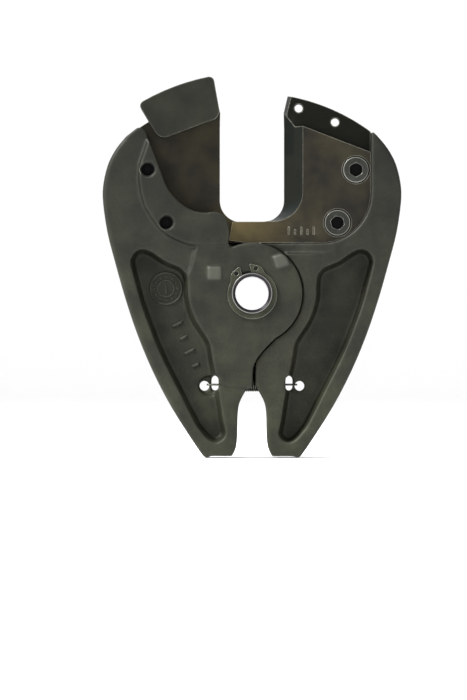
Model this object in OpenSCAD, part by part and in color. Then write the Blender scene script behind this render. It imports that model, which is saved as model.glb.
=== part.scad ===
// Scissor cable cutting jaw set. Millimetres. X right, Y back, Z up, origin on the pivot axis.
// Both levers and both blades are one design each; the right hand one is turned half round about Z.

/* [Overall] */
// half of the overall width over both levers
half_w = 71.8; // [60:0.1:90]
// depth of the lower arm ends below the pivot axis
drop = 78.2; // [65:0.1:100]

/* [Pivot] */
// outside diameter of the pivot sleeve
pin_d = 20; // [16:0.1:24]
// bore of the pivot sleeve
pin_bore_d = 16; // [12:0.1:19]
// radial clearance of the sleeve in the levers
pin_fit = 0.05; // [0.02:0.01:0.1]
// length of sleeve that stands past each retaining ring
pin_end = 1.1; // [0.8:0.1:3]
// radius of the ear round the pivot
ear_r = 24; // [20:0.1:26]
// thickness of one ear
ear_t = 15.4; // [12:0.1:20]
// gap between the two ears
ear_gap = 0.2; // [0.1:0.05:0.5]
// how far the ear's front flange stands out past the ear, over the other blade's lower edge
ear_flange = 0.3; // [0.3:0.05:1]
// clearance round an ear's flange in the other lever
ear_clear = 0.3; // [0.3:0.05:1]

/* [Retaining rings] */
// thickness of a retaining ring
ring_t = 1.2; // [1:0.1:2]
// depth of the ring groove
groove_depth = 0.5; // [0.3:0.05:0.8]
// axial gap between a ring and the ear
ring_gap = 0.1; // [0.05:0.01:0.3]
// radial width of the ring opposite its lugs
ring_w = 2.9; // [2:0.1:4]
// height of a lug above the sleeve
lug_h = 4.1; // [3:0.1:5]
// angle of the ring gap, left of straight up
lug_turn = 15; // [-180:1:180]

/* [Levers] */
// half thickness of the arm rims
rim_y = 14; // [11:0.1:18]
// height of the raised cheek from the middle plane
cheek_y = 16.5; // [14:0.1:20]
// thickness of the web in the pockets
web_t = 5; // [3:0.1:8]
// width of the sloping pocket wall
draft_w = 1.8; // [0.5:0.1:3]
// bevel on the outer edges of the arms
edge_c = 1.2; // [0.4:0.1:2]
// gap between a blade heel and the wall over its slot
heel_gap = 0.4; // [0.2:0.05:1]
// height of a cast pad on the ear
pad_h = 1.2; // [0.3:0.1:1.5]

/* [Blades] */
// thickness of a blade
blade_t = 10; // [7:0.1:13]
// thickness of the thin band at the tip
band_t = 5; // [3:0.1:7]
// gap between the two blades
blade_gap = 0.1; // [0.04:0.02:0.3]
// half of the mouth width
edge_x = 15.45; // [10:0.1:22]
// height of the mouth floor above the pivot axis
floor_z = 34.5; // [32:0.1:42]
// height of the blade's lower edge above the pivot axis
bottom_z = 24.4; // [24.4:0.1:28]
// radius of the blade tip about the pivot axis
tip_r = 96.7; // [90:0.1:110]
// land left at the cutting edge
edge_land = 0.9; // [0.4:0.1:2]
// width of the cutting bevel
bevel_w = 9; // [5:0.1:12]
// clearance of a blade in its lever
seat_fit = 0.3; // [0.1:0.05:0.4]
// depth of the engraved strokes
engrave = 0.2; // [0.1:0.05:0.4]

/* [Blade screws] */
// thread diameter of a blade screw
screw_d = 8; // [6:0.5:10]
// core diameter of its thread
screw_core = 6.8; // [5:0.1:8.8]
// head diameter of a blade screw
head_d = 13; // [10:0.1:16]
// head height of a blade screw
head_h = 5; // [3:0.1:6]
// width across flats of its socket
hex_w = 6; // [4:0.5:8]
// clearance round a screw head
head_fit = 0.25; // [0.1:0.05:0.5]

/* [Tip guide] */
// thickness of a leg of the guide
leg_t = 7.1; // [5:0.1:10]
// gap between a leg and the band that slides past it
leg_gap = 0.4; // [0.3:0.05:1]
// radius of the guide's lower edge
guide_r0 = 85.4; // [84:0.1:90]
// gap over the blade tips under the guide's bridge
bridge_gap = 1.3; // [0.6:0.1:3]
// thickness of the guide's bridge
bridge_t = 8.2; // [5:0.1:12]
// angle of the guide's near side, left of straight up
guide_a0 = 10.1; // [8:0.1:14]
// angle of the guide's far side, left of straight up
guide_a1 = 31; // [26:0.1:32]
// thread diameter of a guide screw
gs_d = 5; // [4:0.5:6]
// core diameter of its thread
gs_core = 4.4; // [3.2:0.1:5.2]
// head diameter of a guide screw
gs_head_d = 8.5; // [7:0.1:10]
// head height of a guide screw
gs_head_h = 4.6; // [3:0.1:6]
// width across flats of its socket
gs_hex = 4; // [3:0.5:5]

/* [Return spring] */
// wire diameter
wire_d = 1; // [0.8:0.1:1.3]
// mean coil radius
coil_r = 3; // [2:0.1:3.2]
// half length of the closed coil
coil_half = 14; // [10:0.5:15]
// half width of the tunnel for the spring
tunnel_h = 4.2; // [3.8:0.1:4.6]

/* [Hidden] */
$fn = 96;
eps = 0.01;
ear_in = ear_gap / 2;
ear_y = ear_in + ear_t;
ring_y = ear_y + ring_gap;
pin_half = ring_y + ring_t + 0.1 + pin_end;
pin_r = pin_d / 2;
seat_y = blade_gap / 2;
side_x = 57;
corner_r = 23.6;
heel_lo = [11, bottom_z + 1.1];
heel_hi = [9.4, floor_z];
web_y = web_t / 2;
slot_y = blade_t + heel_gap;
screw_hi = [50, 59.5];
screw_lo = [41.1, 34];
tip_hole_a = [22.5, 89.2];
tip_hole_b = [40, 82.5];
leg_y = band_t + leg_t;
guide_r1 = tip_r + bridge_gap;
guide_r2 = guide_r1 + bridge_t;
anchor = [20.1, 43.9];
coil_pitch = wire_d * 0.96;
coils = floor(coil_half / coil_pitch);
coil_end = coils * coil_pitch;

// the arms spread past the ear with the overall width and depth
function wide(x) = x <= 24 ? x : 24 + (x - 24) * (half_w - 24) / 47.8;
function deep(z) = z >= -24 ? z : -24 + (z + 24) * (drop - 24) / 54.2;
function at(p) = [-wide(p[0]), deep(p[1])];
function left(list) = [for (p = list) at(p)];
function cubic(a, b, c, d, t) =
  b + 0.5 * t * (c - a + t * (2 * a - 5 * b + 4 * c - d + t * (3 * (b - c) + d - a)));
function curve(p, n) = let (e = len(p) - 1)
  concat([for (i = [0:e - 1], j = [0:n - 1])
    cubic(p[max(i - 1, 0)], p[i], p[i + 1], p[min(i + 2, e)], j / n)], [p[e]]);
function loop(p, n) = let (c = len(p))
  [for (i = [0:c - 1], j = [0:n - 1])
    cubic(p[(i + c - 1) % c], p[i], p[(i + 1) % c], p[(i + 2) % c], j / n)];
function arc(c, r, a0, a1, n) = [for (i = [0:n]) let (a = a0 + (a1 - a0) * i / n) c + r * [cos(a), sin(a)]];
function flip(list) = [for (i = [len(list) - 1:-1:0]) list[i]];
function turned(list) = [for (p = list) [-p[0], p[1]]];
// unit vector to the left of the way a line runs, at one of its points
function side(p, i) = let (d = p[min(i + 1, len(p) - 1)] - p[max(i - 1, 0)]) [-d[1], d[0]] / norm(d);
function shifted(p, w) = [for (i = [0:len(p) - 1]) p[i] + w * side(p, i)];
function ring_side(p, i) =
  let (c = len(p), d = p[(i + 1) % c] - p[(i + c - 1) % c]) [-d[1], d[0]] / norm(d);
function inset(p, w) = [for (i = [0:len(p) - 1]) p[i] + w * ring_side(p, i)];

outer_curve = curve(left([[60.6, 75.3], [65.3, 69.5], [69.2, 62], [71.5, 52.2], [71.6, 43.6], [69.5, 29.2],
  [65.8, 14.8], [60.9, -2.5], [55.1, -19.8], [47.9, -37.1], [39, -54.3], [28.1, -71.6], [23.6, -78]]), 3);
foot = left([[22.1, -79.1], [19.7, -78.2], [9.6, -78.2]]);
gap_curve = curve(left([[9.6, -78.2], [7.8, -74.5], [7.1, -68.7], [7, -60.1], [6.5, -54.3], [5.2, -50.6],
  [3.4, -47.4], [1.8, -44.3]]), 2);
tail_edge = curve([[0.3, deep(-44.3)], [0.4, deep(-38.3)], [1, deep(-34.4)], [3.8, deep(-29.5)], [9, -23.8],
  [14.3, -18.6], [19.4, -12.3]], 3);
tail_r = norm([19.4, 12.3]);
rim_tip = left([[50.9, 77.5], [52.2, 79.1], [53.8, 79.8], [55.2, 79.5], [56.8, 78.3]]);
cheek_inner = curve(left([[11.3, 24], [10.9, 29.7], [11.8, 34], [13.5, 37.1], [17.4, 39.1], [23.9, 38.8],
  [30.4, 40.6], [36.5, 45.4], [40.9, 51], [43.9, 58.8], [46.9, 66.7], [50.2, 74.9]]), 3);
cheek_step = left([[50.6, 75.4], [53, 68.8], [55.2, 62.3], [55.7, 54.9], [54.6, 47.1], [52.6, 41],
  [49.6, 35.8],
  [46.1, 31], [41.8, 27.1], [37, 24.5], [31.7, 22.3], [26.1, 21.6], [17.4, 21.6], [9, 21.8]]);
pocket = loop(left([[41.3, 15.3], [48.1, 20], [52.3, 21.3], [55.9, 20.2], [58.2, 16.8], [58.2, 13.2],
  [55.9, 4.4],
  [53.3, -5], [49.6, -15.4], [44.4, -28.5], [39.3, -38.9], [34.6, -48.2], [27.6, -62.2], [24.6, -66.5],
  [20.7, -70.8], [16.8, -71.9], [13.2, -69.4], [12.6, -66], [13.9, -60.5], [16, -46.8], [19, -32.1],
  [20.2, -24.8], [22.6, -20.1], [26.7, -13.9], [29.3, -7.6], [30.8, -0.8], [31, 7], [32.7, 10.8],
  [35.6, 13]]), 2);
plateau = concat(left([[26.5, 22.5], [27.9, 19.2], [29.2, 12.9], [31.4, 8], [33, 0], [32, -10], [28, -17],
  [24, -22], [21, -29], [19, -38], [15.9, -43.2], [13, -44.5], [4.3, -45.5]]),
  [[-0.6, deep(-45.3)]], tail_edge, [[0, 0], [-9.5, 22]]);

// a flat piece between two depths
module slab(y0, y1) {
  translate([0, y1, 0]) rotate([90, 0, 0]) linear_extrude(height = y1 - y0) children();
}

module rod(p, r, y0, y1) {
  translate([p[0], y1, p[1]]) rotate([90, 0, 0]) cylinder(r = r, h = y1 - y0);
}

module hexagon(p, w, y0, y1, turn) {
  translate([p[0], y1, p[1]]) rotate([90, 0, 0]) rotate([0, 0, turn])
    cylinder(d = w / cos(30), h = y1 - y0, $fn = 6);
}

// a closed outline, drawn in by w0 at depth y0 and by w1 at y1
module sloped(p, y0, w0, y1, w1) {
  n = len(p);
  lo = inset(p, w0);
  hi = inset(p, w1);
  polyhedron(
    points = concat([for (q = lo) [q[0], y0, q[1]]], [for (q = hi) [q[0], y1, q[1]]]),
    faces = concat(
      [[for (i = [n - 1:-1:0]) i]],
      [[for (i = [0:n - 1]) i + n]],
      [for (i = [0:n - 1]) [i, (i + 1) % n, (i + 1) % n + n]],
      [for (i = [0:n - 1]) [i, (i + 1) % n + n, i + n]]));
}

// what a bevel takes off, from the edge line at depth ye to the inner line at depth yb
module bevel_cut(edge, inner, ye, yb) {
  n = len(edge);
  past = 0.15;
  lift = past * (yb - ye);
  sec = [for (i = [0:n - 1]) let (
    d = past * (edge[i] - inner[i]),
    a = edge[i] + d,
    b = inner[i] - d)
    [[a[0], ye - lift, a[1]], [b[0], yb + lift, b[1]], [a[0], yb + lift, a[1]]]];
  polyhedron(
    points = [for (t = sec, q = t) q],
    faces = concat([[0, 1, 2]], [[3 * n - 1, 3 * n - 2, 3 * n - 3]],
      [for (i = [0:n - 2], k = [0:2]) [3 * i + k, 3 * i + 3 + k, 3 * i + (k + 1) % 3]],
      [for (i = [0:n - 2], k = [0:2]) [3 * i + (k + 1) % 3, 3 * i + 3 + k, 3 * i + 3 + (k + 1) % 3]]));
}

module sector(r, a0, a1, y0, y1) {
  slab(y0, y1) polygon(concat([[0, 0]], arc([0, 0], r, 90 + a0, 90 + a1, 24)));
}

// outline of the left blade's plan, counter-clockwise
blade_edge = concat([[-17.2, sqrt(tip_r * tip_r - 17.2 * 17.2)]],
  [[-edge_x + 0.15, tip_r - 9.7], [-edge_x, tip_r - 17]],
  arc([-edge_x + 10.3, floor_z + 10.3], 10.3, 180, 270, 12));
blade_side = -wide(side_x);
blade_top = let (a1 = acos(blade_side / tip_r)) arc([0, 0], tip_r, 100.26, a1, 16);
blade_plan = concat(blade_edge, [heel_hi, heel_lo, [3, bottom_z]],
  flip(arc([blade_side + corner_r, bottom_z + corner_r], corner_r, 180, 270, 16)), flip(blade_top));
step_z = tip_r - 16.7;
step_line = [[-13, step_z + 9.5], [-20.8, step_z + 0.2], [-24.5, step_z + 0.5],
  [blade_side - 2, step_z + 0.5 - 0.3877 * (2 - blade_side - 24.5)]];

module left_blade() {
  color([0.30, 0.28, 0.25]) difference() {
    slab(seat_y, blade_t) polygon(blade_plan);
    // thin band at the tip
    slab(band_t, blade_t + 1) polygon(concat(step_line, [[blade_side - 2, tip_r + 5], [-13, tip_r + 5]]));
    intersection() {
      cutting_bevel();
      slab(-1, blade_t + 3) polygon([[0, 0], [0, step_z + 9.6], [-13, step_z + 9.6], [-20.8, step_z + 0.3],
        [-24.5, step_z + 0.6], [-60, step_z + 0.6], [-60, 0]]);
    }
    band_bevel();
    for (p = [screw_hi, screw_lo]) {
      rod(at(p), screw_d / 2 + 0.3, -1, blade_t + 1);
      rod(at(p), head_d / 2 + head_fit, blade_t - head_h - 0.2, blade_t + 1);
    }
    for (p = [tip_hole_a, tip_hole_b]) rod([-p[0], p[1]], gs_core / 2, -1, band_t + 1);
    for (i = [0:4]) translate([-18 - 3 * i, blade_t - engrave, 28.4])
      cube([0.7, 1, i % 2 == 0 ? 3.6 : 2.4]);
  }
}

module cutting_bevel() {
  e = concat([[-edge_x, tip_r + 4], [-edge_x, 79], [-edge_x, floor_z + 14]],
    arc([-edge_x + 10.3, floor_z + 10.3], 10.3, 180, 255, 12));
  k = edge_x + bevel_w;
  b = concat([[-k, tip_r + 4], [-k, 79], [-k, floor_z + 18]],
    arc([-k + 14.4, floor_z + 14.5], 14.4, 180, 276, 12));
  bevel_cut(e, b, edge_land, blade_t);
}

// narrow bevel on the thin band above the step
module band_bevel() {
  e = [[-edge_x - 3.2, tip_r + 3.3], [-edge_x + 0.15, tip_r - 9.7], [-edge_x + 0.15, tip_r - 12]];
  bevel_cut(e, [for (q = e) q - [1.6, 0]], edge_land, band_t);
}

module right_blade() {
  rotate([0, 0, 180]) left_blade();
}

module blade_screw(p, turn) {
  color([0.10, 0.10, 0.10]) difference() {
    union() {
      rod(p, head_d / 2, blade_t - head_h - 0.2, blade_t - 0.7);
      translate([p[0], blade_t - 0.7, p[1]]) rotate([-90, 0, 0])
        cylinder(r1 = head_d / 2, r2 = head_d / 2 - 0.5, h = 0.5);
      rod(p, screw_d / 2, seat_y, blade_t - head_h);
      rod(p, screw_core / 2, -9.5, seat_y + 1);
    }
    hexagon(p, hex_w, blade_t - 4, blade_t + 1, turn);
  }
}

module left_blade_screw_upper() {
  blade_screw(at(screw_hi), 90);
}

module left_blade_screw_lower() {
  blade_screw(at(screw_lo), 75);
}

module right_blade_screw_upper() {
  rotate([0, 0, 180]) blade_screw(at(screw_hi), 90);
}

module right_blade_screw_lower() {
  rotate([0, 0, 180]) blade_screw(at(screw_lo), 75);
}

// left lever: ear, tail and cheek in front, blade seat and open side behind
front_plan = concat(rim_tip, outer_curve, foot, gap_curve, tail_edge, [[0, 0]], cheek_inner);
back_rim = [[blade_side - seat_fit, 77.2], [-wide(58.2), 77.6]];
back_plan = concat(back_rim, outer_curve, foot, gap_curve,
  [[-1.4, deep(-44.3)], [-2, -30], [-12, 0], [0, 20], [0, bottom_z - seat_fit]],
  flip(arc([blade_side + corner_r, bottom_z + corner_r], corner_r + seat_fit, 180, 270, 16)));
other_tail = concat(turned(flip(shifted(tail_edge, -ear_clear - 0.05))),
  [[-0.35 - ear_clear, -60], [30, -60], [30, -12]]);
// where the blade rests on its ledge, next to the other ear
rest_z = bottom_z - 0.02;
rest = [[-20, bottom_z - 2], [-2.6, bottom_z - 2], [-2.6, rest_z], [-20, rest_z]];

module lever_blank() {
  difference() {
    union() {
      slab(-rim_y, -ear_in) polygon(front_plan);
      slab(-ear_y, -ear_in - 1) polygon(plateau);
      difference() {
        union() {
          slab(-ear_in - eps, rim_y) polygon(back_plan);
          slab(-1, blade_t - 2) polygon(rest);
        }
        rod([0, 0], max(ear_r, tail_r) + ear_clear, -ear_in, rim_y + 1);
        rod([0, 0], max(ear_r + ear_flange, tail_r) + ear_clear, slot_y - 0.3, rim_y + 1);
        slab(-ear_in, rim_y + 1) polygon(other_tail);
        // clearance for the other cheek's lower corner, running out along a ramp
        translate([0, 0, 19.2]) linear_extrude(height = 20)
          polygon([[-wide(40), rim_y + 0.01], [-12, blade_t], [25, blade_t], [25, rim_y + 6],
            [-wide(40), rim_y + 6]]);
      }
      // seat under the blade
      slab(-1, seat_y) polygon(concat(cheek_inner, [[blade_side + 1, 74], [blade_side + 1, 50],
        [-wide(50), 33], [-wide(36), bottom_z + 1], [-14, bottom_z + 1]]));
      intersection() {
        slab(-cheek_y - 1, -1) polygon(front_plan);
        sloped(concat(cheek_step, [[2, 21.8], [2, 45], [-24, 47], [-35, 60], [-44, 78]]),
          -cheek_y, 1.9, -rim_y + 2, -0.3);
      }
    }
    // slot for the other blade's heel
    sector(37.2, 18, 67.5, -slot_y, ear_in + 0.05);
    sector(46, -30, 28, -slot_y, ear_in + 0.05);
    // sloping pockets on both faces
    sloped(pocket, -cheek_y - 1, -0.4, -web_y, draft_w);
    sloped(pocket, web_y, draft_w, rim_y + 1, 0);
    arm_bevels();
  }
}

module arm_bevels() {
  e = flip(outer_curve);
  for (k = [0, 1]) mirror([0, k, 0]) bevel_cut(e, shifted(e, -edge_c), rim_y - edge_c, rim_y);
}

module spring_way() {
  a = [-16.2, deep(-anchor[1])];
  slab(-tunnel_h, tunnel_h)
    polygon([a + [0, -tunnel_h], a + [20, -tunnel_h], a + [20, 12.2], a + [0, tunnel_h + 0.8]]);
  // round hole and long hole through the web, with the post between them
  rod([-anchor[0] - 2.8, deep(-44.5)], 2.4, -20, 20);
  long_hole();
  rod([-anchor[0] - 0.6, deep(-44.5)], 4.7, -web_y - 2, -0.6);
}

module long_hole() {
  x0 = -anchor[0] + 0.6;
  z0 = deep(-43.2);
  translate([x0, -20, z0 - 1.9]) cube([3.4, 40, 3.8]);
  rod([x0 + 1.7, z0 - 1.9], 1.7, -20, 20);
  rod([x0 + 1.7, z0 + 1.9], 1.7, -20, 20);
}

module lever() {
  color([0.20, 0.20, 0.17]) difference() {
    union() {
      lever_blank();
      rod([0, 0], ear_r, -ear_y, -ear_in);
      rod([0, 0], ear_r + ear_flange, -ear_y, -slot_y);
      cast_pads();
    }
    rod([0, 0], pin_r + pin_fit, -30, 30);
    for (p = [screw_hi, screw_lo]) rod(at(p), screw_core / 2, -30, 1);
    spring_way();
  }
}

module cast_pads() {
  intersection() {
    rod([0, 0], ear_r - 0.2, -ear_y - pad_h, -ear_y + 1);
    translate([13.9, 0, 15.6]) rotate([0, -19, 0]) translate([-3.1, -ear_y - pad_h, -2.9])
      cube([6.2, 2, 5.8]);
  }
  translate([-21.1, -ear_y - pad_h, 6.8]) cube([6.3, 2, 5.8]);
}

module left_lever() {
  lever();
}

module right_lever() {
  rotate([0, 0, 180]) lever();
}

module pivot_pin() {
  color([0.15, 0.15, 0.15]) rotate([90, 0, 0]) rotate_extrude() polygon([
    [pin_bore_d / 2, -pin_half + 0.9], [pin_bore_d / 2 + 0.9, -pin_half], [pin_r - 0.4, -pin_half],
    [pin_r, -pin_half + 0.4], [pin_r, -ring_y - ring_t - 0.1],
    [pin_r - groove_depth, -ring_y - ring_t - 0.1],
    [pin_r - groove_depth, -ring_y], [pin_r, -ring_y], [pin_r, ring_y], [pin_r - groove_depth, ring_y],
    [pin_r - groove_depth, ring_y + ring_t + 0.1], [pin_r, ring_y + ring_t + 0.1], [pin_r, pin_half - 0.4],
    [pin_r - 0.4, pin_half], [pin_bore_d / 2 + 0.9, pin_half], [pin_bore_d / 2, pin_half - 0.9]]);
}

module retaining_ring() {
  out_r = pin_r + 1.9;
  off = ring_w + pin_r - out_r;
  in_r = pin_r - groove_depth;
  top = pin_r + lug_h;
  lug = [[2.3, sqrt(in_r * in_r - 5.29)], [2.3, top - 0.6], [3, top - 0.2], [6.1, top - 1.7],
    [7.6, pin_r + 1.2]];
  rotate([0, -lug_turn, 0]) difference() {
    slab(-ring_y - ring_t, -ring_y) polygon(concat(lug, arc([0, -off / 2], out_r, 44, -224, 60),
      flip(turned(lug)), arc([0, 0], in_r, 90 + asin(2.3 / in_r) + 4, 450 - asin(2.3 / in_r) - 4, 60)));
    for (s = [-1, 1]) rod([s * 4.85, pin_r + 1.15], 1.05, -30, 30);
  }
}

module front_retaining_ring() {
  color([0.28, 0.27, 0.24]) retaining_ring();
}

module back_retaining_ring() {
  color([0.28, 0.27, 0.24]) rotate([0, 0, 180]) retaining_ring();
}

// guide outline in sweep and radius, with round corners
function soft(s0, s1, r0, r1, low, top) = concat(arc([s0 + low, r0 + low], low, 180, 270, 6),
  arc([s1 - low, r0 + low], low, 270, 360, 6), arc([s1 - top, r1 - top], top, 0, 90, 4),
  [for (i = [1:5]) [s1 - top + (s0 - s1 + 2 * top) * i / 6, r1]],
  arc([s0 + top, r1 - top], top, 90, 180, 4));
guide_plan = let (rm = (guide_r0 + guide_r2) / 2, k = rm * PI / 180)
  [for (q = soft(guide_a0 * k, guide_a1 * k, guide_r0, guide_r2, 5, 2.4))
    let (a = 90 + q[0] / k) q[1] * [cos(a), sin(a)]];

module tip_guide() {
  color([0.17, 0.17, 0.15]) difference() {
    slab(-leg_y - leg_gap, leg_y) polygon(guide_plan);
    rod([0, 0], guide_r1, -band_t - leg_gap, band_t);
    for (p = [tip_hole_a, tip_hole_b]) {
      rod([-p[0], p[1]], gs_d / 2 + 0.2, 0, 30);
      rod([-p[0], p[1]], gs_head_d / 2 + head_fit, leg_y - gs_head_h - 0.3, 30);
    }
  }
}

module guide_screw(p, turn) {
  color([0.10, 0.10, 0.10]) difference() {
    union() {
      rod([-p[0], p[1]], gs_head_d / 2, leg_y - gs_head_h - 0.3, leg_y - 0.3);
      rod([-p[0], p[1]], gs_d / 2, band_t, leg_y - 1);
      rod([-p[0], p[1]], gs_core / 2, seat_y + 0.4, band_t + 1);
    }
    hexagon([-p[0], p[1]], gs_hex, leg_y - 3.2, 30, turn);
  }
}

module guide_screw_inner() {
  guide_screw(tip_hole_a, 20);
}

module guide_screw_outer() {
  guide_screw(tip_hole_b, 50);
}

module return_spring() {
  color([0.35, 0.35, 0.33]) translate([0, 0, deep(-anchor[1])]) union() {
    rotate([0, 90, 0]) rotate_extrude() polygon(concat([[coil_r - wire_d / 2, -coil_end - wire_d / 2]],
      [for (i = [-coils:coils], k = [-66, -22, 22, 66])
        [coil_r + wire_d / 2 * cos(k), i * coil_pitch + wire_d / 2 * sin(k)]],
      [[coil_r - wire_d / 2, coil_end + wire_d / 2]]));
    spring_end();
    rotate([0, 0, 180]) spring_end();
  }
}

// closing disc of the coil, straight end to the post in the web, and its hook
module spring_end() {
  wr = wire_d / 2;
  bend = 1.2;
  hook_x = -anchor[0] - 0.7 - wr - 0.12;
  y0 = -0.65 - wr;
  translate([-coil_end - wr + 0.1, 0, 0]) rotate([0, 90, 0]) cylinder(r = coil_r, h = wire_d - 0.2);
  translate([hook_x + bend - 0.25, y0, 0]) rotate([0, 90, 0])
    cylinder(r = wr, h = -coil_end - hook_x - bend + 0.25);
  translate([hook_x + bend, y0 + bend, 0]) rotate([0, 0, 180]) rotate_extrude(angle = 90)
    translate([bend, 0]) circle(r = wr + 0.04);
  translate([hook_x, y0 + bend - 0.25, 0]) rotate([-90, 0, 0]) cylinder(r = wr, h = 1.9);
}

pivot_pin();
front_retaining_ring();
back_retaining_ring();
left_lever();
right_lever();
left_blade();
right_blade();
left_blade_screw_upper();
left_blade_screw_lower();
right_blade_screw_upper();
right_blade_screw_lower();
tip_guide();
guide_screw_inner();
guide_screw_outer();
return_spring();
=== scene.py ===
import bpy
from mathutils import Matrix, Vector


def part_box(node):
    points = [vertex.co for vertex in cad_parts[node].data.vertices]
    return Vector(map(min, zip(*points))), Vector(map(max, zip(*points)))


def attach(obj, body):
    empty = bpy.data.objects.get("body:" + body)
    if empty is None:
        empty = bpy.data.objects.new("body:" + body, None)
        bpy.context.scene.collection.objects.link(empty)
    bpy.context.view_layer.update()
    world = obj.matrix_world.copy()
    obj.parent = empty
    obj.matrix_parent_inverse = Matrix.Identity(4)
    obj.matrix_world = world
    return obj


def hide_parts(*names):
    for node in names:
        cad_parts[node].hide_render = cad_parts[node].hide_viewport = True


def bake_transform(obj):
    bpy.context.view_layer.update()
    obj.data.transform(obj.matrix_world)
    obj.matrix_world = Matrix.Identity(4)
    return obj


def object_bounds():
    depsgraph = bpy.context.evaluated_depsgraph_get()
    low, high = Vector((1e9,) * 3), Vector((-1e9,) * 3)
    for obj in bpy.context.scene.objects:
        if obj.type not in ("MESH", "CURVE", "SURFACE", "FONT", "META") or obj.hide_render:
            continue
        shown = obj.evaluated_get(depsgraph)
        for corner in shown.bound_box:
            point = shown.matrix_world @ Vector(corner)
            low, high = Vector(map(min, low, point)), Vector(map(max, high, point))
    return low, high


bl_info = {
    "name": "Cable Cutting Jaw Set",
    "version": (1, 0, 0),
    "blender": (4, 5, 0),
    "location": "View3D > Sidebar > Jaw Set",
    "description": "Builds the finishes and small parts of a scissor cable cutting jaw set on its CAD frame",
    "category": "Object",
}

import bmesh
import bpy
import numpy as np
from bpy.props import FloatProperty, FloatVectorProperty, IntProperty, PointerProperty

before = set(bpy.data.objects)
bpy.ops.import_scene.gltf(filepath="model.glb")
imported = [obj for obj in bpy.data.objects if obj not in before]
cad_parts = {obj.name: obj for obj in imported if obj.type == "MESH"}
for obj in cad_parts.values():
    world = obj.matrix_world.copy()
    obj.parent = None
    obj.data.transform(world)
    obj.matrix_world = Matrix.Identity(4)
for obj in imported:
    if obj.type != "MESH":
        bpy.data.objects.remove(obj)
CAD_BOX = [list(corner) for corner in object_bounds()]
MM = 0.001


# ---------------------------------------------------------------- settings


def length(name, text, default, low=0.0, high=1.0):
    """A size in metres."""
    return FloatProperty(name=name, description=text, default=default, min=low, max=high,
                         unit="LENGTH", precision=5)


def tint(name, text, default):
    """A colour, as linear red, green and blue."""
    return FloatVectorProperty(name=name, description=text, default=default, size=3,
                               min=0.0, max=1.0, subtype="COLOR")


def power(name, text, default):
    """The power of a light in watts."""
    return FloatProperty(name=name, description=text, default=default, min=0.0, unit="POWER")


class JawForgingSettings(bpy.types.PropertyGroup):
    skin: tint("Skin", "Colour of the phosphated forging", (0.0104, 0.0110, 0.0062))
    # the worn edge colour is also the painted highlight along edges
    worn_and_highlight_colour: tint("Worn edge", "Colour where edges are rubbed", (0.075, 0.077, 0.060))
    cell: length("Skin cell", "Size of the cells of the forged skin", 0.00065, 0.0004, 0.002)
    relaxing: IntProperty(name="Relaxing", description="Times that the forged skin is relaxed",
                          default=5, min=0, max=20)
    grain: length("Grain", "Height of the skin's grain", 0.00006, 0.0, 0.0005)


class JawBladeSettings(bpy.types.PropertyGroup):
    steel: tint("Ground steel", "Colour of the ground faces", (0.0205, 0.0180, 0.0112))
    temper: tint("Temper colour", "Straw to brown tint near the mouth floor", (0.072, 0.056, 0.025))
    band: tint("Tip band", "Colour of the thin band at the tip", (0.0040, 0.0045, 0.0028))
    bevel: tint("Bevel", "Colour of the cutting bevel", (0.0080, 0.0105, 0.0090))
    edge_round: length("Edge rounding", "Radius on blade edges", 0.00012, 0.0, 0.001)


class JawHardwareSettings(bpy.types.PropertyGroup):
    oxide: tint("Black oxide", "Colour of screws", (0.030, 0.031, 0.027))
    ring: tint("Ring steel", "Colour of the retaining rings", (0.026, 0.028, 0.018))
    sleeve: tint("Sleeve steel", "Colour of the pivot sleeve", (0.022, 0.020, 0.023))
    # this colour also paints the highlights on screw and sleeve rims
    bright: tint("Bright steel", "Colour of turned or rubbed metal", (0.42, 0.42, 0.38))
    coil_points: IntProperty(name="Points a turn", description="Points along each spring turn",
                             default=20, min=8, max=48)


class JawStageSettings(bpy.types.PropertyGroup):
    distance: length("Camera distance", "From the camera to the pivot", 3.0, 0.5, 10.0)
    view_height: length("View height", "Height that the picture covers at the front face", 0.336, 0.1, 1.0)
    key: power("Key light", "Power of the key light", 60.0)
    fill: power("Fill lights", "Power of each fill light", 7.0)
    sky: FloatProperty(name="Sky", description="Strength of the white surround", default=1.0, min=0.0, max=5.0)


# ---------------------------------------------------------------- meshes


def mesh_object(name, points, faces):
    """A smooth piece from an array of points in metres and a list of faces."""
    mesh = bpy.data.meshes.new(name)
    mesh.from_pydata(points.reshape(-1, 3).tolist(), [], faces)
    return smooth_object(name, mesh)


def smooth_object(name, mesh):
    """Puts a mesh into the scene as a piece with smooth faces."""
    mesh.polygons.foreach_set("use_smooth", [True] * len(mesh.polygons))
    mesh.update()
    thing = bpy.data.objects.new(name, mesh)
    bpy.context.scene.collection.objects.link(thing)
    return thing


def grid_faces(rows, columns, wrap_rows=False, wrap_columns=True):
    """Faces of a grid of rows by columns, each joining a point to the next along and the next row."""
    r = np.arange(rows if wrap_rows else rows - 1)[:, None]
    c = np.arange(columns if wrap_columns else columns - 1)[None, :]
    r1, c1 = (r + 1) % rows, (c + 1) % columns
    quad = [r * columns + c, r * columns + c1, r1 * columns + c1, r1 * columns + c]
    return np.stack(np.broadcast_arrays(*quad), -1).reshape(-1, 4)


def point_outwards(thing):
    """Turns every face of a closed piece outwards."""
    form = bmesh.new()
    form.from_mesh(thing.data)
    bmesh.ops.recalc_face_normals(form, faces=form.faces)
    form.to_mesh(thing.data)
    form.free()


def lengths(rows):
    """The length of each row, as a column."""
    return np.linalg.norm(rows, axis=1)[:, None]


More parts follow.
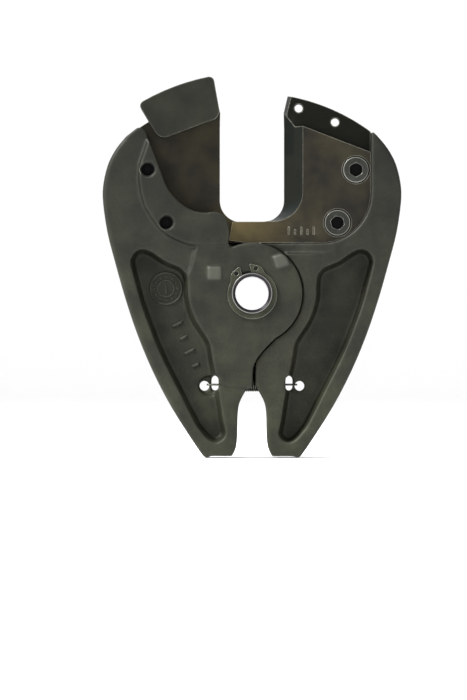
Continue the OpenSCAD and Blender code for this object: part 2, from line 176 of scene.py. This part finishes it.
def swept_wire(name, path, ref, radius, sides=10):
    """A wire of round section: each ring is the path point plus radius times cos and sin of the
    turn along two directions square to the path, the first taken from ref; both ends are domed."""
    along = np.gradient(path, axis=0)
    along /= lengths(along)
    first = ref - (ref * along).sum(1)[:, None] * along
    first /= lengths(first)
    second = np.cross(along, first)
    # two more rings at each end, smaller and further out, make the dome
    dome = np.array([0.25, 0.7]) * radius
    lead = np.array([0.9, 0.675])[:, None] * radius
    size = np.concatenate([dome, np.full(len(path), radius), dome[::-1]])
    path = np.concatenate([path[0] - along[0] * lead, path, path[-1] + along[-1] * lead[::-1]])
    first = np.concatenate([first[[0, 0]], first, first[[-1, -1]]])
    second = np.concatenate([second[[0, 0]], second, second[[-1, -1]]])
    turn = np.linspace(0, 2 * np.pi, sides, endpoint=False)[None, :, None]
    ring = path[:, None] + size[:, None, None] * (np.cos(turn) * first[:, None] + np.sin(turn) * second[:, None])
    last = (len(path) - 1) * sides
    ends = [list(range(sides))[::-1], list(range(last, last + sides))]
    thing = mesh_object(name, ring, grid_faces(len(path), sides).tolist() + ends)
    point_outwards(thing)
    return thing


def merged_copy(node, flatten=False):
    """A copy of a CAD solid with its loose triangles welded and, if asked, its flats joined up."""
    form = bmesh.new()
    form.from_mesh(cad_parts[node].data)
    bmesh.ops.remove_doubles(form, verts=form.verts, dist=3e-6)
    if flatten:
        bmesh.ops.dissolve_degenerate(form, edges=form.edges, dist=2e-6)
        bmesh.ops.dissolve_limit(form, angle_limit=np.radians(0.6), verts=form.verts, edges=form.edges,
                                 use_dissolve_boundaries=False)
    mesh = bpy.data.meshes.new(node + "_finished")
    form.to_mesh(mesh)
    form.free()
    return smooth_object(node + "_finished", mesh)


def baked(thing):
    """The same object with its modifiers worked into its mesh."""
    bpy.context.view_layer.update()
    done = bpy.data.meshes.new_from_object(thing.evaluated_get(bpy.context.evaluated_depsgraph_get()))
    thing.modifiers.clear()
    thing.data = done
    return thing


def cast_skin(node, cell, passes):
    """A copy of a CAD solid with an even skin of small square cells, relaxed a number of times so
    that corners round over and steps run into each other as they do on a forging."""
    thing = merged_copy(node)
    even = thing.modifiers.new("Even skin", "REMESH")
    even.mode = "VOXEL"
    even.voxel_size = cell
    even.use_smooth_shade = True
    relax = thing.modifiers.new("Relaxed", "SMOOTH")
    relax.factor = 0.5
    relax.iterations = passes
    return baked(thing)


def softened(node, radius, steps=2, angle=30.0):
    """A copy of a CAD solid with its flat triangles joined and its edges rounded to a radius."""
    thing = merged_copy(node, True)
    thing.data.set_sharp_from_angle(angle=np.radians(angle))
    round_over = thing.modifiers.new("Rounded edges", "BEVEL")
    round_over.width = radius
    round_over.segments = steps
    round_over.limit_method = "ANGLE"
    round_over.angle_limit = np.radians(angle)
    round_over.use_clamp_overlap = True
    round_over.harden_normals = True
    round_over.miter_outer = "MITER_ARC"
    return baked(thing)


# ---------------------------------------------------------------- shader nodes


def put(tree, kind, inputs=(), **settings):
    """A node with its settings. Each input, by name or number, gets a value or the output that feeds it."""
    made = tree.nodes.new(kind)
    for key, value in settings.items():
        setattr(made, key, value)
    feed(tree, made, inputs)
    return made


def feed(tree, node, inputs):
    """Gives inputs of a node their values or the outputs that feed them."""
    for key, value in dict(inputs).items():
        if isinstance(value, bpy.types.NodeSocket):
            tree.links.new(value, node.inputs[key])
        else:
            node.inputs[key].default_value = value


def maths(tree, operation, first, second=0.0, clamp=False):
    """One step of arithmetic on values or outputs."""
    made = put(tree, "ShaderNodeMath", {0: first, 1: second}, operation=operation, use_clamp=clamp)
    return made.outputs[0]


def remap(tree, value, span, onto=(0.0, 1.0), **settings):
    """A value carried from one span onto another and held at its ends."""
    inputs = {"Value": value, "From Min": span[0], "From Max": span[1], "To Min": onto[0], "To Max": onto[1]}
    return put(tree, "ShaderNodeMapRange", inputs, **settings).outputs[0]


def mixed(tree, share, under, over):
    """Two colours, or outputs, mixed by a share."""
    both = {6: under, 7: over}
    for key, colour in both.items():
        if not isinstance(colour, bpy.types.NodeSocket):
            both[key] = (*colour, 1.0)
    return put(tree, "ShaderNodeMix", {0: share, **both}, data_type="RGBA").outputs[2]


def noise(tree, place, scale, detail, rough):
    """Soft noise at a place."""
    inputs = {"Vector": place, "Scale": scale, "Detail": detail, "Roughness": rough}
    return put(tree, "ShaderNodeTexNoise", inputs).outputs["Fac"]


def on_piece(tree):
    """The place on the piece in its own coordinates, in metres."""
    return put(tree, "ShaderNodeTexCoord").outputs["Object"]


def split(tree, vector):
    """X, Y and Z of a vector."""
    return put(tree, "ShaderNodeSeparateXYZ", {0: vector}).outputs


def shaded(colour, *factors):
    """A colour times one factor, or each channel times its own."""
    return tuple(c * f for c, f in zip(colour, factors if len(factors) == 3 else factors * 3))


# ---------------------------------------------------------------- shader groups


def group(name, inputs, output, work):
    """A node group with named number inputs and one or more outputs, built once by work."""
    tree = bpy.data.node_groups.get(name)
    if tree is None:
        tree = bpy.data.node_groups.new(name, "ShaderNodeTree")
        for label, value in inputs.items():
            plug = tree.interface.new_socket(name=label, in_out="INPUT", socket_type="NodeSocketFloat")
            plug.default_value = value
        for label in output:
            tree.interface.new_socket(name=label, in_out="OUTPUT", socket_type="NodeSocketFloat")
        given = tree.nodes.new("NodeGroupInput").outputs
        put(tree, "NodeGroupOutput", dict(zip(output, work(tree, given))))
    return tree


def use(tree, made, **values):
    """Places a group in a material with its own values and returns its outputs."""
    return put(tree, "ShaderNodeGroup", values, node_tree=made).outputs


def edge_wear_and_highlight_group():
    """Finds edges for rubbed wear and for painted edge highlights: how far the normal rounded over a radius
    turns from the true one, broken by noise.
    """
    def work(tree, given):
        rounded = put(tree, "ShaderNodeBevel", {"Radius": given["Radius"]}, samples=4).outputs[0]
        true = put(tree, "ShaderNodeNewGeometry").outputs["Normal"]
        same = put(tree, "ShaderNodeVectorMath", {0: rounded, 1: true}, operation="DOT_PRODUCT").outputs["Value"]
        turned = maths(tree, "MULTIPLY", maths(tree, "SUBTRACT", 1.0, same), given["Gain"], clamp=True)
        patches = noise(tree, on_piece(tree), 260.0, 4.0, 0.6)
        broken = remap(tree, patches, (0.3, 0.7), (maths(tree, "SUBTRACT", 1.0, given["Break"]), 1.0))
        return [maths(tree, "MULTIPLY", turned, broken, clamp=True)]
    return group("Edge wear", {"Radius": 0.0008, "Gain": 6.0, "Break": 0.5}, ["Mask"], work)


def grain_group():
    """Two sizes of noise: fine skin grain and broad unevenness, as a height and a slow mottle."""
    def work(tree, given):
        here = on_piece(tree)
        fine = noise(tree, here, given["Fine"], 3.0, 0.6)
        broad = noise(tree, here, given["Broad"], 5.0, 0.55)
        both = put(tree, "ShaderNodeMix", {0: given["Weight"], 2: fine, 3: broad}, data_type="FLOAT")
        return [both.outputs[0], broad]
    return group("Skin grain", {"Fine": 2600.0, "Broad": 90.0, "Weight": 0.5}, ["Height", "Mottle"], work)


def ground_lines_group():
    """Fine grinding lines: noise packed closely upwards and stretched along the blade."""
    def work(tree, given):
        scale = put(tree, "ShaderNodeCombineXYZ", {0: given["Along"], 1: given["Along"], 2: given["Across"]})
        place = put(tree, "ShaderNodeVectorMath", {0: on_piece(tree), 1: scale.outputs[0]}, operation="MULTIPLY")
        return [noise(tree, place.outputs[0], 1.0, 3.0, 0.6)]
    return group("Grinding lines", {"Across": 2400.0, "Along": 60.0}, ["Lines"], work)


def well_group():
    """One inside a round well on an axis that runs front to back, and nought outside it; the same
    well is found on both sides of the middle."""
    def work(tree, given):
        x, y, z = split(tree, on_piece(tree))
        flat = put(tree, "ShaderNodeCombineXYZ", {"X": maths(tree, "ABSOLUTE", x), "Z": z}).outputs[0]
        axis = put(tree, "ShaderNodeCombineXYZ", {"X": given["Across"], "Z": given["Up"]}).outputs[0]
        gap = put(tree, "ShaderNodeVectorMath", {0: flat, 1: axis}, operation="DISTANCE").outputs["Value"]
        past = maths(tree, "SUBTRACT", gap, given["Radius"])
        inside = remap(tree, past, (-0.0001, 0.0001), (1.0, 0.0))
        return [maths(tree, "MAXIMUM", inside, given["Before"])]
    return group("Well", {"Across": 0.0, "Up": 0.0, "Radius": 0.003, "Before": 0.0}, ["Mask"], work)


def wells_mask(tree, axes, radius):
    """The mask of several wells of one radius; nought for no radius."""
    mask = 0.0
    for across, up in axes if radius else ():
        mask = use(tree, well_group(), Across=across, Up=up, Radius=radius, Before=mask)["Mask"]
    return mask


# ---------------------------------------------------------------- materials

# places of the screws, as metres out from the middle and up from the pivot
BLADE_SCREWS = ((0.050, 0.0595), (0.0411, 0.0340))
GUIDE_SCREWS = ((0.0225, 0.0892), (0.0400, 0.0825))
ENDS = ("upper", "lower")
SIDES = (("left", -1.0), ("right", 1.0))
# painted shade: near-black colour laid in the screw sockets
PAINTED_SOCKET_SHADE = (0.002, 0.002, 0.002)
# spans in metres over which a mask fades: from the middle plane for faces, from the pivot for heights
PAD_FACE = (0.0157, 0.0164)
PAD_TOP = (0.0198, 0.0204)
BAND_FACE = (0.0003, 0.0006)
BAND_BACK = (0.0052, 0.0060)
BAND_FOOT = (0.066, 0.067)
TEMPER_HEIGHT = (0.034, 0.046)
TEMPER_REACH = (-0.012, 0.030)
# span of the painted light and shade by height on the levers
PAINTED_LIGHT_SPAN = (-0.07, 0.06)


def material(name):
    """A new material with its node tree and its shader."""
    made = bpy.data.materials.new(name)
    made.use_nodes = True
    shader = next(n for n in made.node_tree.nodes if n.type == "BSDF_PRINCIPLED")
    return made, made.node_tree, shader


def painted_light_rings(tree, colour, rings):
    """Paints rings of light and shade round front-to-back axes; each ring is (axes, inner radius, outer radius,
    colour).
    """
    for axes, inner, outer, over in rings:
        band = maths(tree, "SUBTRACT", wells_mask(tree, axes, outer), wells_mask(tree, axes, inner), clamp=True)
        colour = mixed(tree, band, colour, over)
    return colour


def rubbed_pads(tree, colour, worn_and_highlight_colour, y, z):
    """Pads that stand above the ear are paler on their tops."""
    high = remap(tree, maths(tree, "ABSOLUTE", y), PAD_FACE)
    low = remap(tree, z, PAD_TOP, (0.8, 0.0))
    return mixed(tree, maths(tree, "MULTIPLY", high, low), colour, shaded(worn_and_highlight_colour, 0.62))


def skin_material(name, skin, worn_and_highlight_colour, metal, rough, grain, wear_radius, wear_gain,
                  fine=2600.0, spread=0.35, rings=(), painted_light_by_height=(1.0, 1.0), pads=False):
    """Matt metal skin: mottled colour, rubbed edges that also carry painted edge highlights, grain in the
    bump and the gloss. A pair of factors paints light and shade by height, as brightness low and high on the piece."""
    made, tree, shader = material(name)
    skin, worn_and_highlight_colour = tuple(skin), tuple(worn_and_highlight_colour)
    shader.inputs["Metallic"].default_value = metal
    shader.inputs["Specular IOR Level"].default_value = 0.25
    grains = use(tree, grain_group(), Fine=fine, Broad=70.0, Weight=0.3)
    height = grains["Height"]
    level = remap(tree, grains["Mottle"], (0.35, 0.65))
    mottle = mixed(tree, level, shaded(skin, 1.0 - spread), shaded(skin, 1.0 + spread))
    x, y, z = split(tree, on_piece(tree))
    # painted light and shade by height: paler low on the piece, darker high
    painted_light_level = remap(tree, z, PAINTED_LIGHT_SPAN, painted_light_by_height)
    speckle = remap(tree, height, (0.3, 0.7), (0.72, 1.30))
    tone = maths(tree, "MULTIPLY", painted_light_level, speckle)
    handled = put(tree, "ShaderNodeVectorMath", {0: mottle, "Scale": tone}, operation="SCALE").outputs[0]
    # edge mask: rubbed wear, and also painted highlights where edges catch the light
    wear_and_highlight = use(tree, edge_wear_and_highlight_group(), Radius=wear_radius, Gain=wear_gain, Break=0.6)["Mask"]
    colour = painted_light_rings(tree, mixed(tree, wear_and_highlight, handled, worn_and_highlight_colour), rings)
    if pads:
        colour = rubbed_pads(tree, colour, worn_and_highlight_colour, y, z)
    gloss = remap(tree, height, (0.0, 1.0), (rough + 0.10, rough - 0.08))
    bump = put(tree, "ShaderNodeBump", {"Strength": 0.35, "Distance": grain, "Height": height}).outputs[0]
    feed(tree, shader, {"Base Color": colour, "Roughness": gloss, "Normal": bump})
    return made


def blade_material(name, look, behind):
    """Ground blade: grinding lines, a temper tint that fades away from the mouth floor, pale rubbed edges that
    also carry painted highlights, and a darker bevel where the surface leans away from the flat. The blade
    behind gets painted shadow, darker all over."""
    made, tree, shader = material(name)
    shader.inputs["Metallic"].default_value = 0.75
    shader.inputs["Specular IOR Level"].default_value = 0.25
    # painted shadow: the blade behind is darkened as if shaded by the guide and cheek
    side, painted_shadow_factor = (-1.0, 0.80) if behind else (1.0, 1.0)
    lines = use(tree, ground_lines_group(), Across=1800.0, Along=45.0)["Lines"]
    stain = use(tree, grain_group(), Fine=500.0, Broad=55.0, Weight=0.5)["Mottle"]
    x, y, z = split(tree, on_piece(tree))
    # brown patina, with straw colour near the mouth floor
    cloud = remap(tree, stain, (0.36, 0.64))
    patina = mixed(tree, cloud, shaded(shaded(look.steel, 0.62, 0.66, 0.85), painted_shadow_factor), shaded(look.steel, 1.45 * painted_shadow_factor))
    reach = tuple(x0 * side for x0 in TEMPER_REACH)
    near = remap(tree, x, reach, (1.0, 0.0), interpolation_type="SMOOTHSTEP")
    low = remap(tree, z, TEMPER_HEIGHT, (1.0, 0.12), interpolation_type="SMOOTHSTEP")
    patchy = remap(tree, stain, (0.3, 0.7), (0.6, 1.2))
    share = maths(tree, "MULTIPLY", maths(tree, "MULTIPLY", near, low), patchy, clamp=True)
    colour = mixed(tree, share, patina, tuple(look.temper))
    # the thin band at the tip is blued
    depth = maths(tree, "ABSOLUTE", y)
    band = maths(tree, "MULTIPLY", remap(tree, depth, BAND_BACK, (1.0, 0.0)), remap(tree, depth, BAND_FACE))
    colour = mixed(tree, maths(tree, "MULTIPLY", band, remap(tree, z, BAND_FOOT)), colour, tuple(look.band))
    # the cutting bevel, wherever the surface turns from the flat, and the rubbed edges, which also carry painted
    # highlights
    lean = split(tree, put(tree, "ShaderNodeNewGeometry").outputs["Normal"])
    slope = remap(tree, maths(tree, "ABSOLUTE", lean["Y"]), (0.60, 0.96), (1.0, 0.0))
    colour = mixed(tree, slope, colour, tuple(look.bevel))
    wear_and_highlight = use(tree, edge_wear_and_highlight_group(), Radius=0.0005, Gain=5.0, Break=0.5)["Mask"]
    colour = mixed(tree, wear_and_highlight, colour, (0.30, 0.29, 0.24))
    gloss = remap(tree, lines, (0.25, 0.75), (0.34, 0.52))
    bump = put(tree, "ShaderNodeBump", {"Strength": 0.18, "Distance": 0.00002, "Height": lines}).outputs[0]
    feed(tree, shader, {"Base Color": colour, "Roughness": gloss, "Normal": bump})
    return made


def dress(thing, finish):
    """Gives a piece its one material."""
    thing.data.materials.clear()
    thing.data.materials.append(finish)


def finish_node(node, body, finish, thing):
    """Stands a finished copy of a CAD node in its place, on the same body and finish slot."""
    dress(thing, finish)
    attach(thing, body)
    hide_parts(node)
    dress(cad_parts[node], finish)


def add_piece(thing, body, finish):
    """Gives a piece that has no CAD node its outward faces, material, body and finish slot."""
    point_outwards(thing)
    dress(thing, finish)
    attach(thing, body)


# ---------------------------------------------------------------- pieces


class JAWSET_OT_stage(bpy.types.Operator):
    """Camera, white floor and soft studio lights"""
    bl_idname = "jawset.stage"
    bl_label = "Stage"

    def execute(self, context):
        look = context.scene.jaw_stage
        front_face = 0.015
        lens = bpy.data.cameras.new("Camera")
        lens.sensor_width = 36.0
        lens.lens = lens.sensor_width * (look.distance - front_face) / look.view_height
        lens.clip_end = 50.0
        camera = bpy.data.objects.new("Camera", lens)
        camera.location = (-0.0089, -look.distance, -0.0272)
        camera.rotation_euler = (np.pi / 2, 0.0, 0.0)
        context.scene.collection.objects.link(camera)
        context.scene.camera = camera
        context.scene.view_settings.view_transform = "Standard"
        floor = self.floor(CAD_BOX[0][2])
        finish, tree, shader = material("White paper")
        feed(tree, shader, {"Base Color": (0.92, 0.92, 0.92, 1.0), "Roughness": 0.9})
        dress(floor, finish)
        self.lamp("Key light", (-0.95, -0.55, 1.05), 0.45, look.key)
        self.lamp("Fill light", (1.0, -1.1, 0.1), 0.9, look.fill)
        self.lamp("Top light", (-0.1, 0.35, 1.2), 0.8, look.fill)
        world = bpy.data.worlds.new("White surround")
        world.use_nodes = True
        sky = world.node_tree.nodes["Background"]
        sky.inputs["Color"].default_value = (1.0, 1.0, 1.0, 1.0)
        sky.inputs["Strength"].default_value = look.sky
        context.scene.world = world
        return {"FINISHED"}

    def floor(self, height):
        """Paper that runs flat, then turns up far behind the object through a quarter circle."""
        front, back, radius, top = -6.0, 3.6, 1.5, 5.0
        t = np.linspace(0.0, 1.0, 25)[1:] * np.pi / 2
        y = np.concatenate([[front, back], back + radius * np.sin(t), [back + radius]])
        z = np.concatenate([[0.0, 0.0], radius - radius * np.cos(t), [top]]) + height
        x = np.array([-5.0, 5.0])
        points = np.stack(np.broadcast_arrays(x[None, :], y[:, None], z[:, None]), -1)
        return mesh_object("Floor", points, grid_faces(len(y), 2, wrap_columns=False).tolist())

    def lamp(self, name, place, size, power):
        """A square soft light at a place, aimed at the pivot."""
        light = bpy.data.lights.new(name, "AREA")
        light.size = size
        light.energy = power
        thing = bpy.data.objects.new(name, light)
        thing.location = place
        x, y, z = -np.array(place)
        thing.rotation_euler = (np.arctan2(np.hypot(x, y), -z), 0.0, np.arctan2(y, x) - np.pi / 2)
        bpy.context.scene.collection.objects.link(thing)


class JAWSET_OT_forgings(bpy.types.Operator):
    """The two forged levers, with rounded edges and a phosphated skin"""
    bl_idname = "jawset.forgings"
    bl_label = "Forged levers"

    def execute(self, context):
        look = context.scene.jaw_forging
        # painted light by height: the levers are painted paler towards the feet and darker towards the tip
        finish = skin_material("Phosphated forging", look.skin, look.worn_and_highlight_colour, metal=0.25, rough=0.56, grain=look.grain,
                               wear_radius=0.0011, wear_gain=7.0, fine=1100.0, painted_light_by_height=(1.55, 0.60), pads=True)
        for side, _ in SIDES:
            node = side + "_lever"
            finish_node(node, side + "_jaw", finish, cast_skin(node, look.cell, look.relaxing))
        return {"FINISHED"}


class JAWSET_OT_blades(bpy.types.Operator):
    """The two ground cutting blades"""
    bl_idname = "jawset.blades"
    bl_label = "Cutting blades"

    def execute(self, context):
        look = context.scene.jaw_blade
        for side, sign in SIDES:
            finish = blade_material(f"Ground blade {side}", look, sign < 0)
            node = side + "_blade"
            finish_node(node, side + "_jaw", finish, softened(node, look.edge_round))
        return {"FINISHED"}


class JAWSET_OT_fasteners(bpy.types.Operator):
    """Blade and guide screws, and the cut threads in open tapped holes"""
    bl_idname = "jawset.fasteners"
    bl_label = "Screws and threads"

    def execute(self, context):
        look = context.scene.jaw_hardware
        # painted highlight: a pale ring on the rim of each screw head
        rim_highlight = shaded(look.bright, 0.5)
        # painted shade: the socket of each screw is laid near black
        rings = ((BLADE_SCREWS, 0.00580, 0.00612, rim_highlight), (BLADE_SCREWS, 0.0, 0.00305, PAINTED_SOCKET_SHADE),
                 (GUIDE_SCREWS, 0.00375, 0.00400, rim_highlight), (GUIDE_SCREWS, 0.0, 0.0021, PAINTED_SOCKET_SHADE))
        oxide = skin_material("Black oxide screw", look.oxide, look.bright, metal=0.8, rough=0.36, grain=0.00002,
                              wear_radius=0.0004, wear_gain=6.0, fine=4000.0, spread=0.2, rings=rings)
        names = [(f"{side}_blade_screw_{end}", side + "_jaw") for side, _ in SIDES for end in ENDS]
        for node, body in names + [("guide_screw_inner", "left_jaw"), ("guide_screw_outer", "left_jaw")]:
            finish_node(node, body, oxide, softened(node, 0.0002))
        cut = skin_material("Cut thread", (0.012, 0.012, 0.011), (0.05, 0.05, 0.045), metal=0.7, rough=0.45,
                            grain=0.00001, wear_radius=0.0003, wear_gain=3.0)
        # front to back reach of the tapped holes in a cheek and in a blade tip
        cheek = np.array([0.0098, 0.0162])
        tip = (-0.0048, -0.0003)
        for side, sign in SIDES:
            for end, (x, z) in zip(ENDS, BLADE_SCREWS):
                self.thread(f"{side}_thread_{end}", (sign * x, z), 0.0034, 0.00125, sorted(sign * cheek),
                            side + "_jaw", cut)
        for end, place in zip(("inner", "outer"), GUIDE_SCREWS):
            self.thread("tip_thread_" + end, place, 0.0022, 0.0008, tip, "right_jaw", cut)
        return {"FINISHED"}

    def thread(self, name, place, bore, pitch, reach, body, finish):
        """A thread's flank seen from inside: the radius falls from the bore to the crest and back once
        a pitch, and the crest line climbs with the turn; a thin wall closes it outside."""
        sides, rows_a_pitch, depth, wall = 48, 8, 0.30, 0.00002
        y0, y1 = reach
        turn = np.linspace(0, 2 * np.pi, sides, endpoint=False)
        y = np.linspace(y0, y1, int(rows_a_pitch * (y1 - y0) / pitch) + 1)
        phase = (y[:, None] - y0) / pitch - turn[None, :] / (2 * np.pi)
        wave = np.abs((phase % 1.0) * 2.0 - 1.0)
        outer = np.full_like(wave, bore - wall / 2)
        inner = outer - wall - depth * pitch * wave
        radius = np.concatenate([inner, outer[::-1]])
        rows = np.concatenate([y, y[::-1]])
        x, z = place[0] + radius * np.cos(turn), place[1] + radius * np.sin(turn)
        points = np.stack([x, np.broadcast_to(rows[:, None], radius.shape), z], -1)
        thing = mesh_object(name, points, grid_faces(len(rows), sides, wrap_rows=True).tolist())
        add_piece(thing, body, finish)


class JAWSET_OT_guide(bpy.types.Operator):
    """The guide over the blade tips"""
    bl_idname = "jawset.guide"
    bl_label = "Tip guide"

    def execute(self, context):
        look = context.scene.jaw_forging
        finish = skin_material("Phosphated guide", shaded(look.skin, 0.68), look.worn_and_highlight_colour, metal=0.35, rough=0.48,
                               grain=look.grain * 0.6, wear_radius=0.0011, wear_gain=4.0)
        finish_node("tip_guide", "left_jaw", finish, softened("tip_guide", 0.0009, 4))
        return {"FINISHED"}


class JAWSET_OT_pivot(bpy.types.Operator):
    """The hollow pivot sleeve and its two retaining rings"""
    bl_idname = "jawset.pivot"
    bl_label = "Pivot"

    def execute(self, context):
        look = context.scene.jaw_hardware
        # painted highlight: a pale ring at the outer rim of the sleeve
        rim_highlight = (((0.0, 0.0),), 0.00935, 0.00962, shaded(look.bright, 0.5))
        sleeve = skin_material("Hardened sleeve", look.sleeve, look.bright, metal=0.85, rough=0.34, grain=0.00001,
                               wear_radius=0.0004, wear_gain=2.0, fine=3000.0, spread=0.15, rings=(rim_highlight,))
        finish_node("pivot_pin", "pivot", sleeve, softened("pivot_pin", 0.00015, 2, 20.0))
        ring = skin_material("Spring steel ring", look.ring, look.bright, metal=0.6, rough=0.42, grain=0.00002,
                             wear_radius=0.0004, wear_gain=4.0, fine=3000.0, spread=0.2)
        for node in ("front_retaining_ring", "back_retaining_ring"):
            finish_node(node, "pivot", ring, softened(node, 0.00018))
        return {"FINISHED"}


class JAWSET_OT_spring(bpy.types.Operator):
    """The return spring, wound as one wire from hook to hook"""
    bl_idname = "jawset.spring"
    bl_label = "Return spring"

    def execute(self, context):
        look = context.scene.jaw_hardware
        low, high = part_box("return_spring")
        middle = (low[2] + high[2]) / 2
        path, ref = self.centre_line(look.coil_points)
        thing = swept_wire("return_spring_wire", path * MM + np.array([0.0, 0.0, middle]), ref, 0.48 * MM)
        finish = skin_material("Spring wire", (0.10, 0.10, 0.085), look.bright, metal=0.85, rough=0.33,
                               grain=0.00001, wear_radius=0.0003, wear_gain=2.0, fine=3500.0, spread=0.2)
        dress(thing, finish)
        dress(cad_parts["return_spring"], finish)
        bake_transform(thing)
        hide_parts("return_spring")
        return {"FINISHED"}

    def centre_line(self, points):
        """Hook, straight end, bend, coil, and the same turned half round; in millimetres from the
        spring's middle, with a direction square to the wire at every point."""
        hook, arm, radius, turns = 21.42, 1.15, 3.0, 26.5
        hook_bend, coil_bend = 1.2, 0.8
        half = 0.5 * turns
        a = np.linspace(0, np.pi / 2, 10)
        rise = np.stack([np.full(6, -hook), np.linspace(1.9, 0.2, 6), np.zeros(6)], 1)
        elbow = np.stack([hook_bend * (1 - np.cos(a)) - hook, hook_bend * (1 - np.sin(a)) - arm, 0 * a], 1)
        x = np.linspace(-hook + 1.5, -half - 0.9, 24)
        s = np.clip((x + 17.2) / 2.6, 0, 1)
        s = s * s * (3 - 2 * s)
        run = np.stack([x, -arm - (radius - arm) * s, 0 * x], 1)
        b = np.linspace(0, np.pi / 2, 9)[1:-1]
        bend = np.stack([coil_bend * (np.sin(b) - 1) - half, np.full(len(b), -radius),
                         coil_bend * (1 - np.cos(b))], 1)
        end = np.concatenate([rise, elbow, run, bend])
        twist = np.concatenate([np.zeros(len(rise) + len(elbow)), s * np.pi / 2, np.full(len(b), np.pi / 2)])
        end_ref = np.stack([0 * twist, -np.sin(twist), np.cos(twist)], 1)
        start = np.arcsin(coil_bend / radius)
        turn = np.linspace(start, 2 * np.pi * turns - start, int(turns * points))
        along = np.linspace(-half, half, len(turn))
        coil_ref = np.stack([0 * turn, -np.cos(turn), np.sin(turn)], 1)
        coil = np.stack([along, -radius * np.cos(turn), radius * np.sin(turn)], 1)
        half_turn = np.array([-1.0, -1.0, 1.0])
        path = np.concatenate([end, coil, (end * half_turn)[::-1]])
        ref = np.concatenate([end_ref, coil_ref, (end_ref * half_turn)[::-1]])
        return path, ref


class JAWSET_OT_cast_marks(bpy.types.Operator):
    """Plain cast bars and a dial ring, raised on the web of each lever"""
    bl_idname = "jawset.cast_marks"
    bl_label = "Cast marks"

    def execute(self, context):
        finish = bpy.data.materials["Phosphated forging"]
        centre = np.array([-41.4, 2.5])
        turn = np.linspace(0, 2 * np.pi, 96, endpoint=False)
        circle = np.stack([np.cos(turn), np.sin(turn)], 1)
        ribs = [self.rib(centre + radius * circle, width, height, True)
                for radius, width, height in ((7.6, 1.0, 0.8), (4.0, 0.7, 0.6))]
        for k in np.arange(12) * np.pi / 6:
            d = np.array([np.sin(k), np.cos(k)])
            ribs.append(self.rib(np.linspace(centre + 5.0 * d, centre + 6.4 * d, 5), 0.8, 0.6))
        ribs.append(self.rib(np.linspace(centre - [0, 2.6], centre + [0, 2.6], 9), 0.9, 0.7))
        slant = np.array([np.cos(0.45), np.sin(0.45)])
        for k in range(4):
            along = slant * (3.3 if k % 2 == 0 else 2.3)
            spot = np.array([-35.9 + 2.9 * k, -14.8 - 6.6 * k])
            ribs.append(self.rib(np.linspace(spot - along, spot + along, 11), 1.7, 0.9))
        starts = np.cumsum([0] + [len(points) for points, quads in ribs[:-1]])
        rows = np.concatenate([points for points, quads in ribs])
        faces = np.concatenate([quads + start for (points, quads), start in zip(ribs, starts)]).tolist()
        for side, sign in SIDES:
            # the right lever is the left one turned half round
            turned = np.array([-sign, -sign, 1.0])
            add_piece(mesh_object("cast_marks_" + side, rows * turned, faces), side + "_jaw", finish)
        return {"FINISHED"}

    def rib(self, line, width, height, closed=False):
        """A raised rib along a line in plan, in millimetres: across it the height follows a rounded
        section, and at open ends it is drawn down to nothing. Returns points in metres and faces."""
        web, sunk = -2.5, 0.4
        along = np.roll(line, -1, 0) - np.roll(line, 1, 0) if closed else np.gradient(line, axis=0)
        along /= lengths(along)
        out = np.stack([-along[:, 1], along[:, 0]], 1)
        across = np.array([-0.5, -0.42, -0.2, 0.2, 0.42, 0.5])
        rise = np.array([-sunk, 0.55, 1.0, 1.0, 0.55, -sunk])
        grow = np.ones(len(line))
        if not closed:
            grow[[0, 1, -2, -1]] = -0.3, 0.7, 0.7, -0.3
        plan = line[:, None] + across[None, :, None] * width * out[:, None]
        up = np.where(rise[None, :] > 0, rise[None, :] * grow[:, None], rise[None, :]) * height
        up = np.maximum(up, -sunk * height)
        points = np.stack([plan[..., 0], web - up, plan[..., 1]], -1) * MM
        return points.reshape(-1, 3), grid_faces(len(line), len(across), wrap_rows=closed)


# ---------------------------------------------------------------- panel and run

PIECES = (JAWSET_OT_stage, JAWSET_OT_forgings, JAWSET_OT_blades, JAWSET_OT_fasteners, JAWSET_OT_guide,
          JAWSET_OT_pivot, JAWSET_OT_spring, JAWSET_OT_cast_marks)
SETTINGS = {
    "jaw_forging": JawForgingSettings,
    "jaw_blade": JawBladeSettings,
    "jaw_hardware": JawHardwareSettings,
    "jaw_stage": JawStageSettings,
}


class JAWSET_PT_panel(bpy.types.Panel):
    """Buttons and sizes of the jaw set"""
    bl_label = "Jaw Set"
    bl_idname = "JAWSET_PT_panel"
    bl_space_type = "VIEW_3D"
    bl_region_type = "UI"
    bl_category = "Jaw Set"

    def draw(self, context):
        for piece in PIECES:
            self.layout.operator(piece.bl_idname)
        for name, kind in SETTINGS.items():
            box = self.layout.box()
            for key in kind.__annotations__:
                box.prop(getattr(context.scene, name), key)


def register():
    for name, kind in SETTINGS.items():
        bpy.utils.register_class(kind)
        setattr(bpy.types.Scene, name, PointerProperty(type=kind))
    for kind in PIECES + (JAWSET_PT_panel,):
        bpy.utils.register_class(kind)


def unregister():
    for kind in reversed(PIECES + (JAWSET_PT_panel,)):
        bpy.utils.unregister_class(kind)
    for name, kind in SETTINGS.items():
        delattr(bpy.types.Scene, name)
        bpy.utils.unregister_class(kind)


def main():
    register()
    for piece in PIECES:
        owner, action = piece.bl_idname.split(".")
        getattr(getattr(bpy.ops, owner), action)()


if __name__ == "__main__":
    main()
